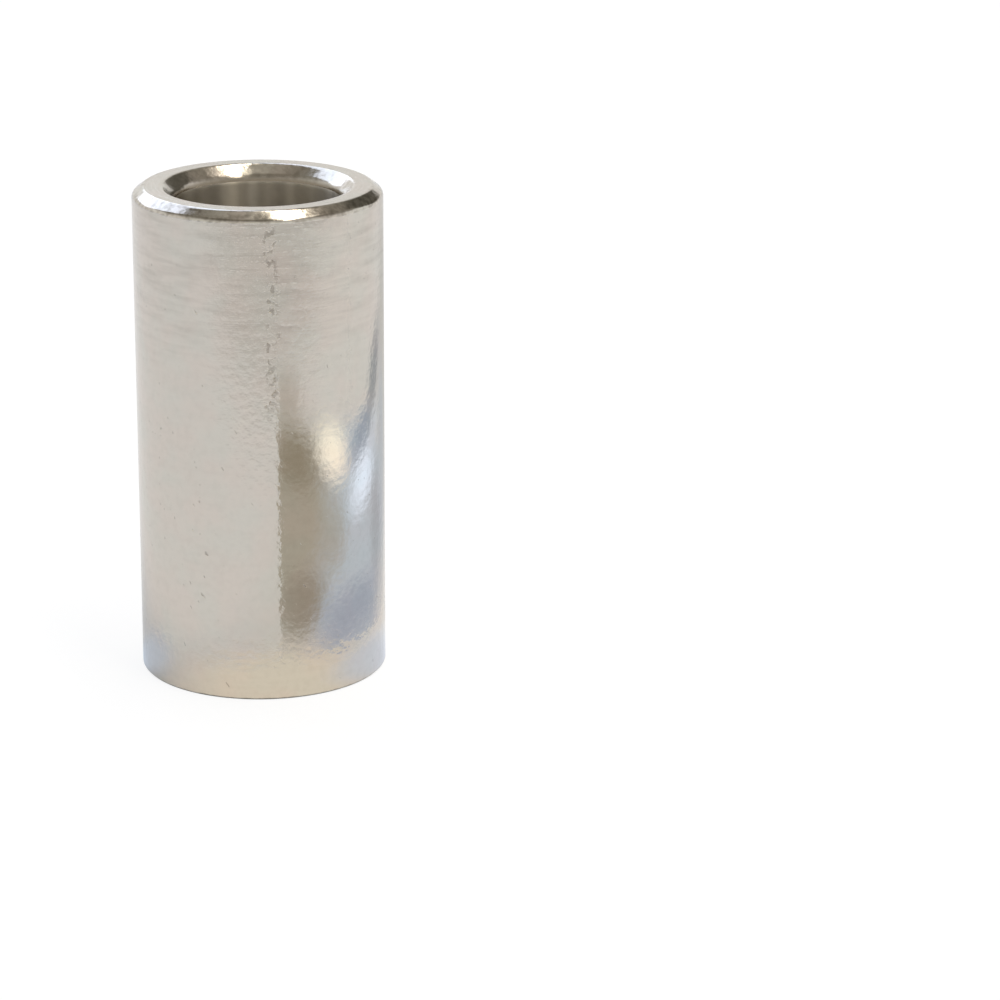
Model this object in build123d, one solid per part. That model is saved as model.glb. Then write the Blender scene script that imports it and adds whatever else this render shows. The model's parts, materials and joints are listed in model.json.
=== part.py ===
from build123d import *
import os

# Spacer sleeve: a plain unthreaded tube, turned in one piece from round bar. It slides over a screw
# and keeps two parts a fixed distance apart. All sizes are in millimetres. The sleeve's axis is +Z,
# and its foot end lies at z = 0.

# Driving dimensions
outer_diameter = 8.0  # turned outside
bore_diameter = 5.3  # clears an M5 screw
sleeve_length = 16.0  # the distance kept, from end face to end face

# The head end is faced, chamfered outside and countersunk inside
head_chamfer_width = 0.35  # how far the chamfer reaches in across the end face
head_chamfer_depth = 0.25  # how far the chamfer reaches down the outside
head_countersink = 0.40  # 45 degree lead-in at the bore's mouth

# The foot end is the one parted off from the bar, so its two edges are only broken
foot_edge_break = 0.06  # 45 degree break round the outside
foot_mouth_break = 0.20  # 45 degree break at the bore's mouth

head_rounding = 0.20  # the head end's corners, softened by its deburring
corner_radius = 0.04  # what tumbling rounds the foot end's corners to

# Worked out from the driving dimensions
outer_radius = outer_diameter / 2
bore_radius = bore_diameter / 2


def wall_corners():
    """The corners of the cut wall as (radius, height), from the foot's mouth round to the bore."""
    return [
        (bore_radius + foot_mouth_break, 0),
        (outer_radius - foot_edge_break, 0),
        (outer_radius, foot_edge_break),
        (outer_radius, sleeve_length - head_chamfer_depth),
        (outer_radius - head_chamfer_width, sleeve_length),
        (bore_radius + head_countersink, sleeve_length),
        (bore_radius, sleeve_length - head_countersink),
        (bore_radius, foot_mouth_break),
    ]


def wall_section():
    """One side of the sleeve cut along its axis: a long thin wall with its chamfers and rounding."""
    with BuildSketch(Plane.XZ) as section:
        with BuildLine():
            Polyline(*wall_corners(), close=True)
        make_face()
        head_corners = [corner for corner in section.vertices() if corner.Y > sleeve_length / 2]
        fillet(head_corners, radius=head_rounding)
        foot_corners = [corner for corner in section.vertices() if corner.Y < sleeve_length / 2]
        fillet(foot_corners, radius=corner_radius)
    return section.sketch


def turned_sleeve():
    """The whole sleeve: the wall's section carried once round the axis."""
    return revolve(wall_section(), axis=Axis.Z, revolution_arc=360)


os.makedirs("parts", exist_ok=True)
export_step(turned_sleeve(), "parts/spacer_sleeve.step")
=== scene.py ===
"""Looks of a spacer sleeve: a plain tube turned from bar and nickel plated, standing on a pale floor."""

import json
import logging
import math
from abc import ABC, abstractmethod
from dataclasses import dataclass
from enum import Enum

import bmesh
import bpy
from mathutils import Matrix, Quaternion, Vector

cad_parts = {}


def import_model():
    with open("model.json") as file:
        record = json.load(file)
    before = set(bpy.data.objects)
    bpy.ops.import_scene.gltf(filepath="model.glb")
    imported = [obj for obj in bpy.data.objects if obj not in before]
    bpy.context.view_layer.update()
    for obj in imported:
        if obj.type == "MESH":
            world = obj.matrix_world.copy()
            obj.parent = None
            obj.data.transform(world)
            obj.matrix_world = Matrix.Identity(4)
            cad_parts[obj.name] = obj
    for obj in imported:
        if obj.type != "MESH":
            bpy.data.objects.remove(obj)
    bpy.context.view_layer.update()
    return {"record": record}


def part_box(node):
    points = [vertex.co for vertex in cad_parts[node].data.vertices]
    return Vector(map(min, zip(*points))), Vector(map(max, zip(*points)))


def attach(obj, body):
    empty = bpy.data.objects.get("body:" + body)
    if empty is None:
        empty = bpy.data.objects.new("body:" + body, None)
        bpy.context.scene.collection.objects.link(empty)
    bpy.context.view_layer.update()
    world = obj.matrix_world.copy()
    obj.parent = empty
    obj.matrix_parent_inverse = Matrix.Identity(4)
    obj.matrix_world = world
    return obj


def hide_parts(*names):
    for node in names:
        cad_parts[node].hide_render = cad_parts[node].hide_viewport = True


LOG = logging.getLogger("spacer_sleeve")
MM = 0.001  # metres in a millimetre
WELD = 1e-7  # metres; spots closer than this are one
WHITE = (1.0, 1.0, 1.0, 1.0)
NODE = "spacer_sleeve"

# A Mix node has its sockets once for every data type, under the same names, so numbers tell them apart.
FACTOR = 0
FLOAT_A = 2
FLOAT_B = 3
FLOAT_RESULT = 0
COLOUR_A = 6
COLOUR_B = 7
COLOUR_RESULT = 2

Tree = bpy.types.NodeTree
Socket = bpy.types.NodeSocket
Levels = tuple[float, float]  # the two values of a noise between which a pattern goes from nothing to all
Stops = tuple[tuple[float, str], ...]  # a colour ramp's stops, each a place and an sRGB hex colour


def linear(colour: str) -> tuple[float, float, float, float]:
    """Turn an sRGB hex colour into the linear colour that Blender works in.

    Args:
        colour: The colour as "#RRGGBB".

    Returns:
        Linear red, green and blue, and an alpha of 1.
    """
    parts = [int(colour[i : i + 2], 16) / 255 for i in (1, 3, 5)]
    bright = [c / 12.92 if c <= 0.04045 else ((c + 0.055) / 1.055) ** 2.4 for c in parts]
    return (bright[0], bright[1], bright[2], 1.0)


def add_node(
    tree: Tree, kind: str, inputs: dict[str | int, object] | None = None, **settings: object
) -> bpy.types.Node:
    """Add one node with its settings and links.

    Args:
        tree: The tree that gets the node.
        kind: Blender's class name for the node.
        inputs: For a socket's name or number, its value or the output socket that feeds it.
        **settings: The node's own properties, such as operation="MULTIPLY".

    Returns:
        The new node.
    """
    node = tree.nodes.new(kind)
    for name, value in settings.items():
        setattr(node, name, value)
    for socket, value in (inputs or {}).items():
        if isinstance(value, Socket):
            tree.links.new(value, node.inputs[socket])
        else:
            node.inputs[socket].default_value = value
    return node


def empty_tree(owner: bpy.types.Material | bpy.types.World) -> Tree:
    """Switch nodes on for a material or world and clear them.

    Args:
        owner: The material or world.

    Returns:
        Its node tree, with nothing in it.
    """
    owner.use_nodes = True
    owner.node_tree.nodes.clear()
    return owner.node_tree


def set_ramp(node: bpy.types.Node, stops: Stops) -> None:
    """Give a colour ramp its stops, with straight blends between them.

    Args:
        node: The colour ramp node.
        stops: Its stops, in order.
    """
    ramp = node.color_ramp
    ramp.interpolation = "LINEAR"
    while len(ramp.elements) < len(stops):
        ramp.elements.new(1.0)
    for element, (place, colour) in zip(ramp.elements, stops):
        element.position = place
        element.color = linear(colour)


def place_mesh(
    shape: bmesh.types.BMesh, name: str, materials: list[bpy.types.Material]
) -> bpy.types.Object:
    """Turn a finished shape into an object at the origin, and free the shape.

    Args:
        shape: The shape, in metres.
        name: The name of the mesh and of the object.
        materials: Its material slots, in order.

    Returns:
        The object, in the scene.
    """
    mesh = bpy.data.meshes.new(name)
    shape.to_mesh(mesh)
    shape.free()
    for material in materials:
        mesh.materials.append(material)
    placed = bpy.data.objects.new(name, mesh)
    bpy.context.scene.collection.objects.link(placed)
    return placed


# ---------------------------------------------------------------- finishes of the sleeve


@dataclass(frozen=True)
class NickelFinish(ABC):
    """Bright nickel plate over cut steel, which every face of the sleeve wears.

    The plate is a few microns thick, so it keeps the marks of the cut under it. It gives the eye a
    mirror with a slight warm tint, softer where the tool left it rougher. Sizes are in mm.
    """

    name: str
    colour: str = "#D4CDC5"
    cool_colour: str = "#D1CEC6"
    tint_size: float = 6.0  # how large the warm and the cool patches are, in peel_size
    tint_levels: Levels = (0.38, 0.62)
    # The stain colour darkens marks as real stain, and in the bore it is the dark of the painted shade
    # streaks.
    stain_and_shade_colour: str = "#6F675B"
    stain: float = 0.06  # how much of the stain a groove holds
    mottle: float = 0.05  # the same for the plate's dull spots
    mottle_levels: Levels = (0.30, 0.55)
    roughness: float = 0.11
    roughness_spread: float = 0.03
    roughness_levels: Levels = (0.3, 0.7)
    brushed: float = 0.0  # how much further fine rings spread the mirror image along the axis
    brushed_turn: float = 0.25  # whole turns; a quarter lays the spread along the axis
    peel_size: float = 0.22  # how far apart the plate's soft swells lie
    peel_height: float = 0.008
    groove_height: float = 0.0012
    pit_spacing: float = 1.25
    pit_radius: float = 0.055
    smallest_pit: float = 0.45  # in pit_radius
    largest_pit: float = 1.2  # in pit_radius
    pit_floor: float = 0.4  # how much of a pit's radius its flat bottom takes
    pit_depth: float = 0.2  # in pit_radius
    pit_stain: float = 0.35

    @abstractmethod
    def grooves(self, tree: Tree, place: Socket) -> Socket:
        """Draw the marks that the tool left; the bore draws its painted streaks of light and shade here
        instead.

        Args:
            tree: The material's nodes.
            place: The object coordinates.

        Returns:
            The height from 0, in a deep mark, to 1.
        """

    def pits(self, tree: Tree, place: Socket) -> Socket:
        """Draw the pinholes that plating leaves, large and small.

        Args:
            tree: The material's nodes.
            place: The object coordinates.

        Returns:
            The height from 0, in a pit, to 1.
        """
        cells = add_node(
            tree, "ShaderNodeTexVoronoi", {"Vector": place, "Scale": 1 / (self.pit_spacing * MM)}
        ).outputs
        edge = self.pit_radius / self.pit_spacing
        grain = add_node(tree, "ShaderNodeSeparateXYZ", {0: cells["Color"]}).outputs["X"]
        reach = add_node(
            tree,
            "ShaderNodeMapRange",
            {"Value": grain, "To Min": self.smallest_pit * edge, "To Max": self.largest_pit * edge},
        ).outputs["Result"]
        floor = add_node(
            tree, "ShaderNodeMath", {0: reach, 1: self.pit_floor}, operation="MULTIPLY"
        ).outputs[0]
        return add_node(
            tree,
            "ShaderNodeMapRange",
            {"Value": cells["Distance"], "From Min": floor, "From Max": reach},
            interpolation_type="SMOOTHSTEP",
        ).outputs["Result"]

    def plate(self, tree: Tree, place: Socket) -> Socket:
        """Colour the clean plate, which wanders a little between warm and cool.

        Args:
            tree: The material's nodes.
            place: The object coordinates.

        Returns:
            The colour.
        """
        patches = 1 / (self.tint_size * self.peel_size * MM)
        cloud = add_node(
            tree, "ShaderNodeTexNoise", {"Vector": place, "Scale": patches, "Detail": 2.0, "Roughness": 0.5}
        ).outputs["Fac"]
        warm_at, cool_at = self.tint_levels
        hue = add_node(
            tree, "ShaderNodeMapRange", {"Value": cloud, "From Min": warm_at, "From Max": cool_at}
        ).outputs["Result"]
        return add_node(
            tree,
            "ShaderNodeMix",
            {FACTOR: hue, COLOUR_A: linear(self.colour), COLOUR_B: linear(self.cool_colour)},
            data_type="RGBA",
        ).outputs[COLOUR_RESULT]

    def stain_and_shade(self, tree: Tree, grooves: Socket, swell: Socket, pits: Socket) -> Socket:
        """Add up the stain that grooves, dull spots and pits hold, and in the bore the painted shade of its
        streaks.

        Args:
            tree: The material's nodes.
            grooves: The tool marks' height.
            swell: The plate's swells.
            pits: The pits' height.

        Returns:
            How much of the stain and of the painted shade shows, from 0 up.
        """
        whole = (0.0, 1.0)
        stain_and_shade = None
        for height, (low, high), held in (
            (grooves, whole, self.stain),
            (swell, self.mottle_levels, self.mottle),
            (pits, whole, self.pit_stain),
        ):
            inputs = {"Value": height, "From Min": low, "From Max": high, "To Min": held, "To Max": 0.0}
            share = add_node(tree, "ShaderNodeMapRange", inputs).outputs["Result"]
            stain_and_shade = share if stain_and_shade is None else add_node(
                tree, "ShaderNodeMath", {0: stain_and_shade, 1: share}, operation="ADD"
            ).outputs[0]
        return stain_and_shade

    def relief(self, tree: Tree, grooves: Socket, swell: Socket, pits: Socket) -> Socket:
        """Lay the bumps of grooves, swells and pits over each other.

        Args:
            tree: The material's nodes.
            grooves: The tool marks' height.
            swell: The plate's swells.
            pits: The pits' height.

        Returns:
            The bumped normal.
        """
        normal = None
        for height, depth in (
            (grooves, self.groove_height),
            (swell, self.peel_height),
            (pits, self.pit_depth * self.pit_radius),
        ):
            inputs = {"Height": height, "Strength": 1.0, "Distance": depth * MM}
            if normal is not None:
                inputs["Normal"] = normal
            normal = add_node(tree, "ShaderNodeBump", inputs).outputs["Normal"]
        return normal

    def material(self) -> bpy.types.Material:
        """Build the finish's material.

        Returns:
            A metal with tool marks, the plate's swells and pits, and a little stain in the marks, which in
            the bore is painted shade.
        """
        material = bpy.data.materials.new(self.name)
        tree = empty_tree(material)
        place = add_node(tree, "ShaderNodeTexCoord").outputs["Object"]
        grooves = self.grooves(tree, place)
        pits = self.pits(tree, place)
        peel = 1 / (self.peel_size * MM)
        swell = add_node(
            tree, "ShaderNodeTexNoise", {"Vector": place, "Scale": peel, "Detail": 2.0, "Roughness": 0.45}
        ).outputs["Fac"]
        stain_and_shade = self.stain_and_shade(tree, grooves, swell, pits)
        colour = add_node(
            tree,
            "ShaderNodeMix",
            {FACTOR: stain_and_shade, COLOUR_A: self.plate(tree, place), COLOUR_B: linear(self.stain_and_shade_colour)},
            data_type="RGBA",
        ).outputs[COLOUR_RESULT]
        roughness = add_node(
            tree,
            "ShaderNodeMapRange",
            {
                "Value": swell,
                "From Min": self.roughness_levels[0],
                "From Max": self.roughness_levels[1],
                "To Min": self.roughness - self.roughness_spread,
                "To Max": self.roughness + self.roughness_spread,
            },
        ).outputs["Result"]
        metal = add_node(
            tree,
            "ShaderNodeBsdfPrincipled",
            {
                "Base Color": colour,
                "Metallic": 1.0,
                "Roughness": roughness,
                "Normal": self.relief(tree, grooves, swell, pits),
                "Anisotropic": self.brushed,
                "Anisotropic Rotation": self.brushed_turn,
            },
        ).outputs[0]
        add_node(tree, "ShaderNodeOutputMaterial", {"Surface": metal})
        return material


@dataclass(frozen=True)
class RingedFace(NickelFinish):
    """A face cut while it turned: rings follow each other along the axis and fade in and out round it."""

    feed: float = 0.19  # from ring to ring
    drag: float = 0.08  # how slowly a ring changes round the sleeve, against along it
    ring_levels: Levels = (0.25, 0.6)

    def grooves(self, tree: Tree, place: Socket) -> Socket:
        """Draw the rings.

        Args:
            tree: The material's nodes.
            place: The object coordinates.

        Returns:
            The height from 0, in a deep ring, to 1.
        """
        stretched = add_node(
            tree, "ShaderNodeMapping", {"Vector": place, "Scale": (self.drag, self.drag, 1.0)}
        ).outputs["Vector"]
        rings = add_node(
            tree,
            "ShaderNodeTexNoise",
            {"Vector": stretched, "Scale": 1 / (self.feed * MM), "Detail": 2.0, "Roughness": 0.55},
        ).outputs["Fac"]
        deep_at, full_at = self.ring_levels
        return add_node(
            tree, "ShaderNodeMapRange", {"Value": rings, "From Min": deep_at, "From Max": full_at}
        ).outputs["Result"]


@dataclass(frozen=True)
class MouthEdge(RingedFace):
    """The bore's mouth, with painted shade: its plate turns darker and browner towards the bore."""

    # Painted shade: low in the mouth the plate wears this dark brown, near the top its clean colour.
    mouth_shade_colour: str = "#948B7D"
    shade_below: float = 15.52  # up the sleeve
    unshaded_above: float = 15.72

    def plate(self, tree: Tree, place: Socket) -> Socket:
        """Colour the clean plate, with painted shade that darkens it towards the bore.

        Args:
            tree: The material's nodes.
            place: The object coordinates.

        Returns:
            The colour.
        """
        height = add_node(tree, "ShaderNodeSeparateXYZ", {0: place}).outputs["Z"]
        # painted shade, none near the top of the mouth and full low in it
        mouth_shade = add_node(
            tree,
            "ShaderNodeMapRange",
            {"Value": height, "From Min": self.unshaded_above * MM, "From Max": self.shade_below * MM},
            interpolation_type="SMOOTHSTEP",
        ).outputs["Result"]
        return add_node(
            tree,
            "ShaderNodeMix",
            {FACTOR: mouth_shade, COLOUR_A: super().plate(tree, place), COLOUR_B: linear(self.mouth_shade_colour)},
            data_type="RGBA",
        ).outputs[COLOUR_RESULT]


@dataclass(frozen=True)
class TurnedWall(RingedFace):
    """The outside: rings that show under the head and were tumbled away below, and the tumbling's nicks."""

    bare_below: float = 10.0  # up the wall, where the rings start
    ringed_above: float = 13.5  # where they show in full
    tumbled: float = 0.85  # how much of the rings is gone further down
    nick_size: float = 0.20
    nick_levels: Levels = (0.48, 0.61)
    nick_line: float = 0.62  # how far right of the middle the line runs that the nicks follow
    nick_wander: float = 0.88  # from bend to bend of that line
    nick_sway: float = 0.6  # how far it bends to either side, in nick_spread
    nick_sway_levels: Levels = (0.3, 0.7)
    nick_spread: float = 0.24  # how far from their line nicks still lie
    nick_core: float = 0.3  # the share of the spread in which they are at their deepest
    nick_front: float = 1.0  # how far before the axis they are all there; none lies behind it
    nick_foot: float = 8.9  # the lowest nick's height
    nick_foot_fade: float = 1.5  # the height over which they come in
    nick_head: float = 16.0
    nick_head_fade: float = 0.5
    scratch_size: float = 0.07
    scratch_stretch: float = 0.14  # its width against its length
    scratch_slope: float = 0.65  # radians
    scratch_levels: Levels = (0.88, 0.84)

    def grooves(self, tree: Tree, place: Socket) -> Socket:
        """Draw the rings, fading out down the wall.

        Args:
            tree: The material's nodes.
            place: The object coordinates.

        Returns:
            The height from 0, in a deep ring, to 1.
        """
        rings = super().grooves(tree, place)
        height = add_node(tree, "ShaderNodeSeparateXYZ", {0: place}).outputs["Z"]
        bare = add_node(
            tree,
            "ShaderNodeMapRange",
            {
                "Value": height,
                "From Min": self.bare_below * MM,
                "From Max": self.ringed_above * MM,
                "To Min": self.tumbled,
                "To Max": 0.0,
            },
            interpolation_type="SMOOTHSTEP",
        ).outputs["Result"]
        return add_node(
            tree, "ShaderNodeMix", {FACTOR: bare, FLOAT_A: rings, FLOAT_B: 1.0}, data_type="FLOAT"
        ).outputs[FLOAT_RESULT]

    def nick_line_distance(self, tree: Tree, place: Socket, across: Socket) -> Socket:
        """Measure how far a spot lies from the wandering line that the nicks follow.

        Args:
            tree: The material's nodes.
            place: The object coordinates.
            across: The object coordinate to the right.

        Returns:
            The distance in metres.
        """
        wander = add_node(
            tree, "ShaderNodeTexNoise", {"Vector": place, "Scale": 1 / (self.nick_wander * MM)}
        ).outputs["Fac"]
        sway = self.nick_sway * self.nick_spread
        to_line = add_node(
            tree,
            "ShaderNodeMapRange",
            {
                "Value": wander,
                "From Min": self.nick_sway_levels[0],
                "From Max": self.nick_sway_levels[1],
                "To Min": -(self.nick_line + sway) * MM,
                "To Max": -(self.nick_line - sway) * MM,
            },
        ).outputs["Result"]
        off = add_node(tree, "ShaderNodeMath", {0: across, 1: to_line}, operation="ADD").outputs[0]
        return add_node(tree, "ShaderNodeMath", {0: off}, operation="ABSOLUTE").outputs[0]

    def nicks(self, tree: Tree, place: Socket) -> Socket:
        """Draw the chain of small nicks that runs up the upper front.

        Args:
            tree: The material's nodes.
            place: The object coordinates.

        Returns:
            The height from 0, in a nick, to 1.
        """
        grain = add_node(
            tree,
            "ShaderNodeTexNoise",
            {"Vector": place, "Scale": 1 / (self.nick_size * MM), "Detail": 1.0, "Roughness": 0.5},
        ).outputs["Fac"]
        sides = add_node(tree, "ShaderNodeSeparateXYZ", {0: place}).outputs
        off = self.nick_line_distance(tree, place, sides["X"])
        spread, front = self.nick_spread * MM, -self.nick_front * MM
        chain = None
        for value, none_at, full_at in (
            (off, spread, self.nick_core * spread),
            (sides["Y"], 0.0, front),
            (sides["Z"], self.nick_foot * MM, (self.nick_foot + self.nick_foot_fade) * MM),
            (sides["Z"], self.nick_head * MM, (self.nick_head - self.nick_head_fade) * MM),
            (grain, *self.nick_levels),
        ):
            share = add_node(
                tree,
                "ShaderNodeMapRange",
                {"Value": value, "From Min": none_at, "From Max": full_at},
                interpolation_type="SMOOTHSTEP",
            ).outputs["Result"]
            chain = share if chain is None else add_node(
                tree, "ShaderNodeMath", {0: chain, 1: share}, operation="MULTIPLY"
            ).outputs[0]
        return add_node(tree, "ShaderNodeMath", {0: 1.0, 1: chain}, operation="SUBTRACT").outputs[0]

    def scratches(self, tree: Tree, place: Socket) -> Socket:
        """Draw a few short slanting scratches.

        Args:
            tree: The material's nodes.
            place: The object coordinates.

        Returns:
            The height from 0, in a scratch, to 1.
        """
        slanted = add_node(
            tree, "ShaderNodeMapping", {"Vector": place, "Rotation": (0.0, self.scratch_slope, 0.0)}
        ).outputs["Vector"]
        drawn_out = add_node(
            tree, "ShaderNodeMapping", {"Vector": slanted, "Scale": (1.0, 1.0, self.scratch_stretch)}
        ).outputs["Vector"]
        grain = add_node(
            tree,
            "ShaderNodeTexNoise",
            {"Vector": drawn_out, "Scale": 1 / (self.scratch_size * MM), "Detail": 0.0},
        ).outputs["Fac"]
        deep_at, none_at = self.scratch_levels
        return add_node(
            tree, "ShaderNodeMapRange", {"Value": grain, "From Min": deep_at, "From Max": none_at}
        ).outputs["Result"]

    def pits(self, tree: Tree, place: Socket) -> Socket:
        """Draw pinholes, nicks and scratches together.

        Args:
            tree: The material's nodes.
            place: The object coordinates.

        Returns:
            The height from 0, in a mark, to 1.
        """
        marks = super().pits(tree, place)
        for more in (self.nicks(tree, place), self.scratches(tree, place)):
            marks = add_node(tree, "ShaderNodeMath", {0: marks, 1: more}, operation="MULTIPLY").outputs[0]
        return marks


@dataclass(frozen=True)
class FacedEnd(NickelFinish):
    """The end rings, faced across with the same tool: fine rings about the bore."""

    feed: float = 0.07  # from ring to ring
    drag: float = 0.04  # how slowly a ring changes round the bore, against across it
    ring_levels: Levels = (0.25, 0.6)

    def grooves(self, tree: Tree, place: Socket) -> Socket:
        """Draw rings by their distance from the sleeve's axis.

        Args:
            tree: The material's nodes.
            place: The object coordinates.

        Returns:
            The height from 0, in a deep ring, to 1.
        """
        flat = add_node(
            tree, "ShaderNodeMapping", {"Vector": place, "Scale": (1.0, 1.0, 0.0)}
        ).outputs["Vector"]
        reach = add_node(tree, "ShaderNodeVectorMath", {0: flat}, operation="LENGTH").outputs["Value"]
        slow = add_node(
            tree, "ShaderNodeVectorMath", {0: flat, "Scale": self.drag}, operation="SCALE"
        ).outputs["Vector"]
        spread = add_node(tree, "ShaderNodeCombineXYZ", {"Z": reach}).outputs["Vector"]
        rings_at = add_node(
            tree, "ShaderNodeVectorMath", {0: slow, 1: spread}, operation="ADD"
        ).outputs["Vector"]
        rings = add_node(
            tree,
            "ShaderNodeTexNoise",
            {"Vector": rings_at, "Scale": 1 / (self.feed * MM), "Detail": 2.0, "Roughness": 0.5},
        ).outputs["Fac"]
        deep_at, full_at = self.ring_levels
        return add_node(
            tree, "ShaderNodeMapRange", {"Value": rings, "From Min": deep_at, "From Max": full_at}
        ).outputs["Result"]


@dataclass(frozen=True)
class ReamedBore(NickelFinish):
    """The bore, left by the drill and the reamer, with painted light and shade: darker and lighter streaks
    that run along it.
    """

    # The streaks are painted light and shade in the plate's colour, where lamps would leave bright strips
    # along the bore.
    streak_size: float = 0.6  # from streak to streak
    streak_reach: float = 0.03  # how slowly a streak changes along the bore, against round it
    streak_levels: Levels = (0.35, 0.65)

    def grooves(self, tree: Tree, place: Socket) -> Socket:
        """Draw the painted streaks of light and shade.

        Args:
            tree: The material's nodes.
            place: The object coordinates.

        Returns:
            The height from 0, in a painted dark streak, to 1.
        """
        drawn_out = add_node(
            tree, "ShaderNodeMapping", {"Vector": place, "Scale": (1.0, 1.0, self.streak_reach)}
        ).outputs["Vector"]
        streaks = add_node(
            tree,
            "ShaderNodeTexNoise",
            {"Vector": drawn_out, "Scale": 1 / (self.streak_size * MM), "Detail": 1.0, "Roughness": 0.5},
        ).outputs["Fac"]
        painted_dark_at, painted_light_at = self.streak_levels
        return add_node(
            tree, "ShaderNodeMapRange", {"Value": streaks, "From Min": painted_dark_at, "From Max": painted_light_at}
        ).outputs["Result"]


class Zone(Enum):
    """The five kinds of face on the sleeve, in the order of its material slots."""

    WALL = 0
    END = 1
    EDGE = 2
    MOUTH = 3
    BORE = 4


FINISHES = {
    Zone.WALL: TurnedWall(
        "nickel_over_turned_wall", peel_height=0.012, groove_height=0.003, stain=0.2, drag=0.13
    ),
    Zone.END: FacedEnd("nickel_over_faced_end", roughness=0.24, groove_height=0.0045, mottle=0.08),
    Zone.EDGE: RingedFace(
        "nickel_over_cut_edge",
        roughness=0.16,
        peel_height=0.006,
        groove_height=0.0006,
        drag=0.15,
        mottle=0.45,
    ),
    Zone.MOUTH: MouthEdge(
        "nickel_over_bore_mouth_painted_shade",
        roughness=0.18,
        peel_height=0.008,
        groove_height=0.0006,
        drag=0.15,
        mottle=0.2,
    ),
    # The bore's plate is painted a little lighter than the wall's, for the light that reaches down it; its
    # streaks are painted shade.
    Zone.BORE: ReamedBore(
        "nickel_over_reamed_bore_painted_streaks",
        colour="#DBD5CA",
        cool_colour="#D6D0C3",
        roughness=0.40,
        roughness_spread=0.0,
        brushed=0.85,
        peel_height=0.002,
        groove_height=0.0,
        stain=0.45,
    ),
}


# ---------------------------------------------------------------- the sleeve


@dataclass
class SpacerSleeve:
    """The one piece: a tube with a cut edge at its head and broken edges at its foot. Sizes in mm."""

    outer_radius: float
    bore_radius: float
    length: float
    head_chamfer_width: float = 0.35
    head_chamfer_depth: float = 0.25
    head_countersink: float = 0.40
    foot_edge_break: float = 0.06
    foot_mouth_break: float = 0.20
    head_rounding: float = 0.20
    throat_rounding: float = 0.45  # softer than the CAD's 0.20; no spot moves by more than 0.03
    foot_rounding: float = 0.04
    corner_steps: int = 8
    held_corner: float = 0.02  # how close to a corner its straight sides get their first line
    held_sides: float = 4.0  # sides longer than this get one, in held_corner
    turns: int = 512
    end_rise: float = 0.999  # a face is an end where its normal rises more than this
    wall_rise: float = 0.02  # and the wall, outside, where its normal rises less than this
    bore_rise: float = 0.25  # the same for the bore, inside

    def wall_corners(self) -> list[tuple[float, float, float]]:
        """Lay out the corners of the tube's wall.

        Returns:
            The eight corners as (radius, height, rounding), from the foot's mouth round to the bore.
        """
        outer, bore, top = self.outer_radius, self.bore_radius, self.length
        return [
            (bore + self.foot_mouth_break, 0.0, self.foot_rounding),
            (outer - self.foot_edge_break, 0.0, self.foot_rounding),
            (outer, self.foot_edge_break, self.foot_rounding),
            (outer, top - self.head_chamfer_depth, self.head_rounding),
            (outer - self.head_chamfer_width, top, self.head_rounding),
            (bore + self.head_countersink, top, self.head_rounding),
            (bore, top - self.head_countersink, self.throat_rounding),
            (bore, self.foot_mouth_break, self.foot_rounding),
        ]

    def zone_of(self, face: bmesh.types.BMFace) -> Zone:
        """Say which kind of face this is.

        Args:
            face: A face of the finished tube, its normal pointing out of the metal.

        Returns:
            The zone whose finish it wears.
        """
        middle = face.calc_center_median()
        outside = math.hypot(middle.x, middle.y) / MM > (self.outer_radius + self.bore_radius) / 2
        rise = abs(face.normal.z)
        if rise > self.end_rise:
            return Zone.END
        if rise < (self.wall_rise if outside else self.bore_rise):
            return Zone.WALL if outside else Zone.BORE
        return Zone.EDGE if outside else Zone.MOUTH

    def section(self, shape: bmesh.types.BMesh) -> None:
        """Draw the wall's section, with rounded corners and a line close to each end of its long sides.

        Args:
            shape: The empty bmesh that gets the section's edges.
        """
        outline = self.wall_corners()
        spots = [Vector((radius * MM, 0.0, height * MM)) for radius, height, _ in outline]
        shape.faces.new([shape.verts.new(spot) for spot in spots])
        for number, spot in enumerate(spots):
            sides = (spots[number - 1] - spot, spots[(number + 1) % len(spots)] - spot)
            corner = min(shape.verts, key=lambda vert: (vert.co - spot).length)
            bmesh.ops.bevel(
                shape,
                geom=[corner],
                offset=outline[number][2] * MM / math.tan(sides[0].angle(sides[1]) / 2),
                offset_type="OFFSET",
                affect="VERTICES",
                segments=self.corner_steps,
                profile=0.5,
                material=-1,
            )
        bmesh.ops.delete(shape, geom=shape.faces[:], context="FACES_ONLY")
        hold = self.held_corner * MM
        for edge in [e for e in shape.edges if e.calc_length() > self.held_sides * hold]:
            first, last = edge.verts
            rest, _ = bmesh.utils.edge_split(edge, first, hold / edge.calc_length())
            far = next(e for e in (edge, rest) if last in e.verts)
            bmesh.utils.edge_split(far, last, hold / far.calc_length())

    def build(self) -> bpy.types.Object:
        """Spin the section into the tube, sort its faces by finish and dress them.

        Returns:
            The sleeve's object, at the origin.
        """
        shape = bmesh.new()
        self.section(shape)
        bmesh.ops.spin(
            shape,
            geom=shape.verts[:] + shape.edges[:],
            cent=(0.0, 0.0, 0.0),
            axis=(0.0, 0.0, 1.0),
            dvec=(0.0, 0.0, 0.0),
            angle=2 * math.pi,
            steps=self.turns,
            use_merge=True,
            use_duplicate=False,
        )
        bmesh.ops.remove_doubles(shape, verts=shape.verts[:], dist=WELD)
        bmesh.ops.recalc_face_normals(shape, faces=shape.faces[:])
        shape.normal_update()
        for face in shape.faces:
            face.smooth = True
            face.material_index = self.zone_of(face).value
        return place_mesh(shape, "plated_sleeve", [FINISHES[zone].material() for zone in Zone])


# ---------------------------------------------------------------- the studio


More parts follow.
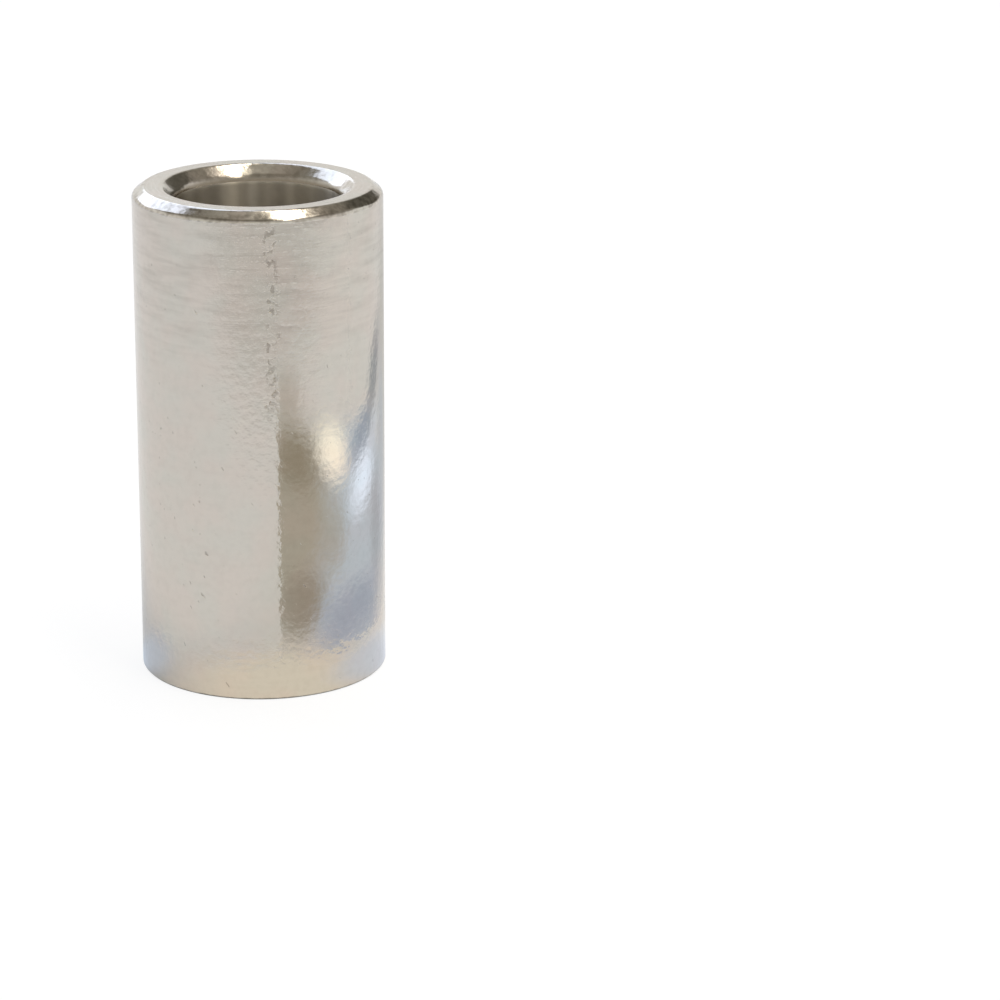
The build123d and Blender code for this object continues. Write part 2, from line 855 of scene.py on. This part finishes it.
@dataclass(frozen=True)
class StudioCamera:
    """A short tele lens, a hand's breadth from the sleeve. Places and lengths in mm."""

    place: tuple[float, float, float] = (7.763, -113.494, 42.072)
    aim: tuple[float, float, float] = (7.763, 1.606, 4.984)
    lens: float = 131.45
    sensor: float = 36.0
    roll: float = 0.00553  # radians
    nearest: float = 5.0
    furthest: float = 5000.0

    def build(self) -> bpy.types.Object:
        """Put the camera in place and make it the scene's.

        Returns:
            The camera's object.
        """
        data = bpy.data.cameras.new("studio_camera")
        data.sensor_width = self.sensor
        data.lens = self.lens
        data.clip_start = self.nearest * MM
        data.clip_end = self.furthest * MM
        camera = bpy.data.objects.new("studio_camera", data)
        look = (Vector(self.aim) - Vector(self.place)).to_track_quat("-Z", "Y")
        camera.rotation_mode = "QUATERNION"
        camera.rotation_quaternion = look @ Quaternion((0.0, 0.0, 1.0), self.roll)
        camera.location = Vector(self.place) * MM
        bpy.context.scene.collection.objects.link(camera)
        bpy.context.scene.camera = camera
        return camera


@dataclass(frozen=True)
class PaleFloor:
    """White matt card that the sleeve stands on; it keeps the sleeve's soft shadow."""

    reach: float = 500.0  # mm
    sides: int = 96
    drop: float = 0.001  # mm under the sleeve's foot, so that the two don't share a plane
    colour: str = "#F2F1EF"
    whitened: float = 0.8  # how far the camera sees it washed out towards white, shadow and all
    mirrored_whitened: float = 0.03  # the same where metal mirrors it
    white: float = 1.07

    def material(self) -> bpy.types.Material:
        """Build the card's finish.

        Returns:
            A matt white that the camera and metal see washed out towards white.
        """
        material = bpy.data.materials.new("matt_white_card")
        tree = empty_tree(material)
        rays = add_node(tree, "ShaderNodeLightPath").outputs
        matt = add_node(tree, "ShaderNodeBsdfDiffuse", {"Color": linear(self.colour)}).outputs[0]
        mirrored = add_node(
            tree,
            "ShaderNodeMath",
            {0: rays["Is Glossy Ray"], 1: rays["Is Transmission Ray"]},
            operation="MAXIMUM",
        ).outputs[0]
        in_metal = add_node(
            tree, "ShaderNodeMath", {0: mirrored, 1: self.mirrored_whitened}, operation="MULTIPLY"
        ).outputs[0]
        share = add_node(
            tree,
            "ShaderNodeMath",
            {0: rays["Is Camera Ray"], 1: self.whitened, 2: in_metal},
            operation="MULTIPLY_ADD",
        ).outputs[0]
        white = add_node(tree, "ShaderNodeEmission", {"Color": WHITE, "Strength": self.white}).outputs[0]
        card = add_node(tree, "ShaderNodeMixShader", {0: share, 1: matt, 2: white}).outputs[0]
        add_node(tree, "ShaderNodeOutputMaterial", {"Surface": card})
        material.cycles.emission_sampling = "NONE"
        return material

    def build(self, foot: float) -> bpy.types.Object:
        """Lay the floor.

        Args:
            foot: How high the sleeve's foot stands, in metres.

        Returns:
            The floor's object.
        """
        shape = bmesh.new()
        bmesh.ops.create_circle(shape, cap_ends=True, segments=self.sides, radius=self.reach * MM)
        bmesh.ops.translate(shape, verts=shape.verts[:], vec=(0.0, 0.0, foot - self.drop * MM))
        floor = place_mesh(shape, "floor", [self.material()])
        return floor


@dataclass(frozen=True)
class StudioRoom:
    """What stands round the table: a white backdrop behind the sleeve, a dim room before and above it.

    Each ramp goes from 0 at eye level to 1 straight up.
    """

    fill: str = "#ABB1BA"
    backdrop: Stops = ((0.40, "#F1EFEB"), (0.55, "#A29E96"))
    room: Stops = ((0.0, "#F1EFEB"), (0.45, "#D9D5CD"))
    ceiling: Stops = ((0.72, "#8E887D"), (0.88, "#857E72"), (0.97, "#B1ABA0"))
    blend: float = 0.25  # how far behind and before the sleeve backdrop and room run into each other

    def mirrored(self, tree: Tree) -> Socket:
        """Colour the room as metal sees it.

        Args:
            tree: The world's nodes.

        Returns:
            The colour in each direction.
        """
        way = add_node(tree, "ShaderNodeTexCoord").outputs["Generated"]
        sides = add_node(tree, "ShaderNodeSeparateXYZ", {0: way}).outputs
        backdrop = add_node(tree, "ShaderNodeValToRGB", {"Fac": sides["Z"]})
        set_ramp(backdrop, self.backdrop + self.ceiling)
        room = add_node(tree, "ShaderNodeValToRGB", {"Fac": sides["Z"]})
        set_ramp(room, self.room + self.ceiling)
        behind = add_node(
            tree,
            "ShaderNodeMapRange",
            {"Value": sides["Y"], "From Min": -self.blend, "From Max": self.blend},
        ).outputs["Result"]
        return add_node(
            tree,
            "ShaderNodeMix",
            {FACTOR: behind, COLOUR_A: room.outputs[0], COLOUR_B: backdrop.outputs[0]},
            data_type="RGBA",
        ).outputs[COLOUR_RESULT]

    def build(self) -> bpy.types.World:
        """Build the world: white to the camera, dim fill light, and the room as metal sees it.

        Returns:
            The scene's world.
        """
        world = bpy.data.worlds.new("studio_room")
        bpy.context.scene.world = world
        tree = empty_tree(world)
        rays = add_node(tree, "ShaderNodeLightPath").outputs
        seen = add_node(
            tree,
            "ShaderNodeMix",
            {FACTOR: rays["Is Glossy Ray"], COLOUR_A: linear(self.fill), COLOUR_B: self.mirrored(tree)},
            data_type="RGBA",
        ).outputs[COLOUR_RESULT]
        shown = add_node(
            tree,
            "ShaderNodeMix",
            {FACTOR: rays["Is Camera Ray"], COLOUR_A: seen, COLOUR_B: WHITE},
            data_type="RGBA",
        ).outputs[COLOUR_RESULT]
        light = add_node(tree, "ShaderNodeBackground", {"Color": shown, "Strength": 1.0}).outputs[0]
        add_node(tree, "ShaderNodeOutputWorld", {"Surface": light})
        return world


class PanelShape(Enum):
    """The outlines that a light panel comes in."""

    RECTANGLE = "RECTANGLE"
    ELLIPSE = "ELLIPSE"


@dataclass(frozen=True)
class Softbox:
    """A flat panel of even light. Angles in degrees about the sleeve's head, sizes in mm."""

    name: str
    azimuth: float  # 0 towards the camera, 90 to the right
    elevation: float
    distance: float
    width: float
    height: float
    colour: str
    radiance: float
    shape: PanelShape = PanelShape.RECTANGLE
    faces_down: bool = False  # a ceiling panel; any other is aimed at the sleeve's head
    turn: float = 0.0  # anticlockwise seen from behind the light

    def build(self, aim: Vector) -> bpy.types.Object:
        """Hang the light.

        Args:
            aim: The point it faces, in metres.

        Returns:
            The light's object, hidden from the camera.
        """
        data = bpy.data.lights.new(self.name, "AREA")
        data.shape = self.shape.value
        data.size = self.width * MM
        data.size_y = self.height * MM
        data.color = linear(self.colour)[:3]
        area = data.size * data.size_y * (math.pi / 4 if self.shape is PanelShape.ELLIPSE else 1.0)
        data.energy = self.radiance * math.pi * area
        turn, lift = math.radians(self.azimuth), math.radians(self.elevation)
        way = Vector((math.sin(turn) * math.cos(lift), -math.cos(turn) * math.cos(lift), math.sin(lift)))
        light = bpy.data.objects.new(self.name, data)
        light.location = aim + way * self.distance * MM
        light.rotation_mode = "QUATERNION"
        spin = Quaternion((0.0, 0.0, 1.0), math.radians(self.turn))
        look = Quaternion() if self.faces_down else (-way).to_track_quat("-Z", "Y")
        light.rotation_quaternion = look @ spin
        light.visible_camera = False
        bpy.context.scene.collection.objects.link(light)
        return light


@dataclass(frozen=True)
class Glow:
    """One soft-edged oval of even colour on a reflection card. Sizes are in mm along the card."""

    azimuth: float  # degrees, where its middle lies
    height: float  # how far its middle lies up the card
    half_width: float
    half_height: float
    colour: str
    turn: float = 0.0  # degrees by which its right end is raised
    core: float = 0.1  # the share of it that is even right out from the middle
    cover: float = 1.0  # how much it hides of what lies under it
    strength: float = 1.0

    def lay_over(self, tree: Tree, spot: Socket, reach: float, under: Socket) -> Socket:
        """Lay the oval over what the card shows so far.

        Args:
            tree: The card's nodes.
            spot: The place on the card, in mm along it and up it.
            reach: The card's distance from the sleeve's axis in mm, at its lower edge.
            under: The shader under the oval.

        Returns:
            The shader with the oval laid over.
        """
        local = add_node(
            tree,
            "ShaderNodeMapping",
            {
                "Vector": spot,
                "Location": (math.radians(self.azimuth) * reach, self.height, 0.0),
                "Rotation": (0.0, 0.0, math.radians(self.turn)),
                "Scale": (self.half_width, self.half_height, 1.0),
            },
            vector_type="TEXTURE",
        ).outputs["Vector"]
        away = add_node(tree, "ShaderNodeVectorMath", {0: local}, operation="LENGTH").outputs["Value"]
        share = add_node(
            tree,
            "ShaderNodeMapRange",
            {"Value": away, "From Min": 1.0, "From Max": self.core, "To Min": 0.0, "To Max": self.cover},
            interpolation_type="SMOOTHSTEP",
        ).outputs["Result"]
        light = add_node(
            tree, "ShaderNodeEmission", {"Color": linear(self.colour), "Strength": self.strength}
        ).outputs[0]
        return add_node(tree, "ShaderNodeMixShader", {0: share, 1: under, 2: light}).outputs[0]


@dataclass(frozen=True)
class ReflectionCard:
    """A clear curved card that only metal sees, bent about the sleeve's axis and painted with glows.

    Places are (reach from the axis, height) in mm and azimuths in degrees, 0 towards the camera and
    90 to the right.
    """

    name: str
    low: tuple[float, float]
    high: tuple[float, float]
    start: float
    end: float
    glows: tuple[Glow, ...]
    fade: float = 0.1  # degrees over which the left end comes in
    fade_out: float = 0.1  # the same for the right end
    step_angle: float = 3.0  # degrees from fold to fold of the bend
    fewest_steps: int = 8
    map_name: str = "spot"

    def material(self) -> bpy.types.Material:
        """Lay the glows over each other on a clear card.

        Returns:
            The card's material, which reads the card's own map.
        """
        material = bpy.data.materials.new(self.name)
        tree = empty_tree(material)
        spot = add_node(tree, "ShaderNodeUVMap", uv_map=self.map_name).outputs[0]
        gap = add_node(tree, "ShaderNodeBsdfTransparent").outputs[0]
        card = gap
        for glow in self.glows:
            card = glow.lay_over(tree, spot, self.low[0], card)
        along = add_node(tree, "ShaderNodeSeparateXYZ", {0: spot}).outputs["X"]
        for end, inner in ((self.start, self.start + self.fade), (self.end, self.end - self.fade_out)):
            inside = add_node(
                tree,
                "ShaderNodeMapRange",
                {
                    "Value": along,
                    "From Min": math.radians(end) * self.low[0],
                    "From Max": math.radians(inner) * self.low[0],
                },
                interpolation_type="SMOOTHSTEP",
            ).outputs["Result"]
            card = add_node(tree, "ShaderNodeMixShader", {0: inside, 1: gap, 2: card}).outputs[0]
        add_node(tree, "ShaderNodeOutputMaterial", {"Surface": card})
        material.cycles.emission_sampling = "NONE"
        return material

    def bend(self, shape: bmesh.types.BMesh, foot: float) -> None:
        """Bend the card about the axis and map it in mm along it and up it.

        Args:
            shape: The empty bmesh that gets the card.
            foot: How high the sleeve's foot stands, in metres.
        """
        spot = shape.loops.layers.uv.new(self.map_name)
        steps = max(self.fewest_steps, round((self.end - self.start) / self.step_angle))
        rise = math.dist(self.low, self.high)
        columns = []
        for step in range(steps + 1):
            turn = math.radians(self.start + (self.end - self.start) * step / steps)
            column = []
            for (reach, height), up in ((self.low, 0.0), (self.high, rise)):
                place = (reach * math.sin(turn) * MM, -reach * math.cos(turn) * MM, foot + height * MM)
                column.append((shape.verts.new(place), (turn * self.low[0], up)))
            columns.append(column)
        for left, right in zip(columns, columns[1:]):
            corners = (left[0], right[0], right[1], left[1])
            face = shape.faces.new([vert for vert, _ in corners])
            for loop, (_, mapped) in zip(face.loops, corners):
                loop[spot].uv = mapped

    def build(self, foot: float) -> bpy.types.Object:
        """Put the card up and hide it from all but reflections.

        Args:
            foot: How high the sleeve's foot stands, in metres.

        Returns:
            The card's object.
        """
        shape = bmesh.new()
        self.bend(shape, foot)
        card = place_mesh(shape, self.name, [self.material()])
        for ray in ("camera", "diffuse", "shadow", "transmission", "volume_scatter"):
            setattr(card, f"visible_{ray}", False)
        return card


STUDIO_LIGHTS = (
    Softbox(
        "ceiling_panel",
        azimuth=67.3,
        elevation=69.7,
        distance=613.0,
        width=1040.0,
        height=160.0,
        colour="#FFF3E0",
        radiance=6.1,
        shape=PanelShape.ELLIPSE,
        faces_down=True,
        turn=111.0,
    ),
    Softbox(
        "far_panel",
        azimuth=76.9,
        elevation=58.3,
        distance=675.0,
        width=560.0,
        height=120.0,
        colour="#FFF6EA",
        radiance=0.8,
        shape=PanelShape.ELLIPSE,
        faces_down=True,
        turn=111.0,
    ),
    Softbox(
        "north_window",
        azimuth=-145.0,
        elevation=36.3,
        distance=900.0,
        width=800.0,
        height=620.0,
        colour="#D9E6FF",
        radiance=1.7,
    ),
)

# Painted reflections: what stands round the sleeve, painted on cards that only its metal mirrors. The
# neighbour card paints a second bright sleeve to the right, which is not in the scene: brown at its near
# edge, grey-blue beyond, with a painted warm and a painted cool highlight on it. A later glow lies over the
# earlier ones.
REFLECTION_CARDS = (
    # A painted dark reflection: a dim patch behind and to the right, which only metal mirrors.
    ReflectionCard(
        "painted_dark_reflection",
        low=(300.0, 30.0),
        high=(300.0, 330.0),
        start=118.0,
        end=170.0,
        glows=(Glow(144, 150, 136, 150, "#5F5B52", core=0.8),),
    ),
    ReflectionCard(
        "shade_in_front",
        low=(30.0, 0.3),
        high=(110.0, 0.3),
        start=-60.0,
        end=90.0,
        glows=(Glow(12, 36, 36, 42, "#DEDBD8", core=0.3),),
    ),
    # Painted light and shade of the floor round the foot, as the wall mirrors it: a warm pool in front, a
    # cool shadow to the left, brighter floor to the right.
    ReflectionCard(
        "painted_floor_light_and_shade",
        low=(4.02, 0.02),
        high=(9.0, 0.02),
        start=-125.0,
        end=140.0,
        glows=(
            Glow(14, 1.3, 6.2, 4.2, "#FBF1E1", core=0.3, cover=0.9),
            Glow(-84, 1.0, 2.2, 3.6, "#D3DFF0", core=0.2, cover=0.9),
            Glow(98, 0.6, 3.0, 3.0, "#F6F9FF", core=0.3, cover=0.85, strength=1.06),
            Glow(80, 1.0, 3.4, 2.6, "#E2E9FA", core=0.3, cover=0.75, strength=1.03),
        ),
    ),
    ReflectionCard(
        "painted_neighbour_reflection",
        low=(7.5, 0.0),
        high=(7.5, 16.0),
        start=14.0,
        end=200.0,
        glows=(
            # painted reflection of its far side, as it fades into the room
            Glow(150, 9.0, 4.4, 7.5, "#D5D4D1", core=0.1, cover=0.6),
            Glow(133, 9.5, 3.4, 8.5, "#D3D2CF", core=0.2, cover=0.85),
            Glow(122, 5.0, 2.4, 6.0, "#D2D8E1", core=0.3, cover=0.9),
            # painted reflection of its grey-blue side
            Glow(74, 3.9, 7.1, 4.4, "#DAE4F2", turn=3, core=0.7),
            Glow(109, 3.4, 2.2, 3.2, "#C3C8D2", core=0.2, cover=0.85),
            Glow(57, 3.8, 2.3, 1.9, "#C9C6C1", cover=0.7),
            # painted reflection of its brown near edge
            Glow(15, 4.9, 7.4, 4.6, "#C3BDB0", core=0.4),
            Glow(20, 8.9, 2.3, 1.7, "#CDC8BF", cover=0.8),
            Glow(27, 6.9, 3.4, 1.7, "#AAA08F", turn=-14),
            Glow(34, 2.1, 3.2, 1.5, "#AFA79A", core=0.1, cover=0.9),
            # painted reflection of its foot, down to the light floor
            Glow(76, 0.9, 7.2, 1.8, "#BAC4D8", turn=1, core=0.25, cover=0.9),
            Glow(27, 1.7, 3.0, 1.7, "#AFA79A", core=0.2, cover=0.85),
            Glow(14, -0.2, 2.2, 1.2, "#E6DCCC", cover=0.5),
            Glow(88, -0.3, 5.6, 1.4, "#CFD7E8", core=0.2, cover=0.85),
            # its painted highlights, warm and cool
            Glow(56, 6.9, 2.8, 1.5, "#FFF8EA", turn=-15, strength=1.45),
            Glow(87, 5.5, 3.2, 1.6, "#DDEBFF", turn=16, strength=1.6),
            Glow(104, 7.0, 1.9, 1.2, "#DFE9F8", turn=25, cover=0.8, strength=1.1),
            # a painted dark line along its top
            Glow(88, 7.2, 3.2, 1.0, "#B4C2D6", turn=21, cover=0.95),
            Glow(106, 9.0, 3.2, 1.5, "#B2B6BD", turn=48),
        ),
        fade=2.5,
        fade_out=30.0,
    ),
)


def main() -> None:
    """Load the frame, build the sleeve and its studio, and report the pieces."""
    logging.basicConfig(level=logging.INFO, format="%(name)s: %(message)s")
    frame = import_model()
    bpy.context.scene.view_settings.view_transform = "Standard"
    low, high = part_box(NODE)
    mounts = {m["name"]: m for m in frame["record"]["mounts"]}
    sleeve = SpacerSleeve(
        outer_radius=min(high.x - low.x, high.y - low.y) / 2 / MM,
        bore_radius=mounts["bore"]["dims"]["r_mm"],
        length=(high.z - low.z) / MM,
    )
    StudioCamera().build()
    piece = sleeve.build()
    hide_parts(NODE)
    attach(piece, "root")
    LOG.info("%s: %d faces", piece.name, len(piece.data.polygons))
    floor = PaleFloor().build(low.z)
    StudioRoom().build()
    head = Vector((0.0, 0.0, high.z))
    for softbox in STUDIO_LIGHTS:
        LOG.info("light: %s", softbox.build(head).name)
    for card in REFLECTION_CARDS:
        LOG.info("card: %s", card.build(low.z).name)
    LOG.info("stage: %s", floor.name)


if __name__ == "__main__":
    main()
